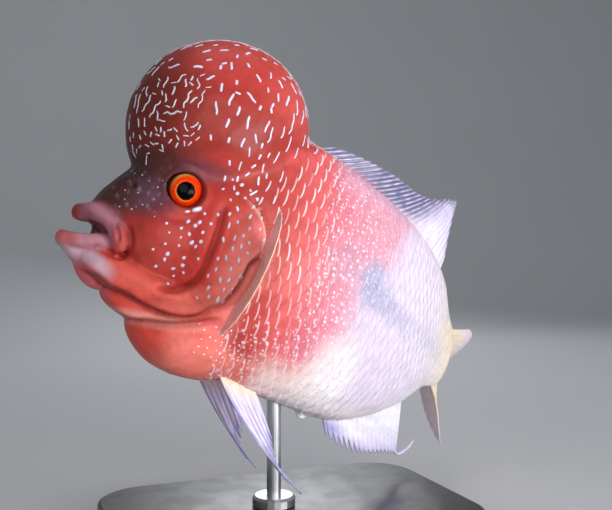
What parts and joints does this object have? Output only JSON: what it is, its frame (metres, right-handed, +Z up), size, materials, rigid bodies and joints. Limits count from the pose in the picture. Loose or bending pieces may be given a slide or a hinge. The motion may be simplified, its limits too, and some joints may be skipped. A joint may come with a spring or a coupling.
{
  "type": "flowerhorn cichlid display model",
  "caption": "Life-size still model of an adult flowerhorn cichlid with a large round hump, head pitched up and tail curved away, held over a flat black base by one steel rod.",
  "frame": {"origin": "middle of the underside of the stand's base, on the table", "axes": "+Z up, -X the way the fish faces, -Y the fish's left side; the tail curves towards +Y"},
  "size_m": [0.2241, 0.1303, 0.2],
  "materials": {
    "skin_red": "wet red-orange fish skin with pearl-white marks",
    "skin_pale": "pale pink scaled skin",
    "lip_pink": "smooth pink skin of the lips and chin",
    "eye": "clear glossy eye, orange-red ring round a black pupil",
    "fin_violet": "thin lavender fin membrane with darker violet rays",
    "fin_pale": "thin creamy peach fin membrane",
    "base_black": "satin black",
    "rod_steel": "plain bright steel"
  },
  "bodies": {
    "root": {"head": "skin_red", "nuchal_hump": "skin_red", "upper_lip": "lip_pink", "lower_jaw": "lip_pink", "throat": "skin_red", "gill_cover_left": "skin_red", "gill_cover_right": "skin_red", "trunk_front": "skin_red", "trunk_rear": "skin_pale", "tail_stalk": "skin_pale", "eye_left": "eye", "eye_right": "eye", "dorsal_fin": "fin_violet", "anal_fin": "fin_violet", "tail_fin_upper": "fin_pale", "tail_fin_lower": "fin_pale", "breast_fin_left": "fin_pale", "breast_fin_right": "fin_pale", "belly_fin_left": "fin_violet", "belly_fin_right": "fin_violet", "stand_base": "base_black", "stand_rod": "rod_steel"}
  },
  "joints": []
}
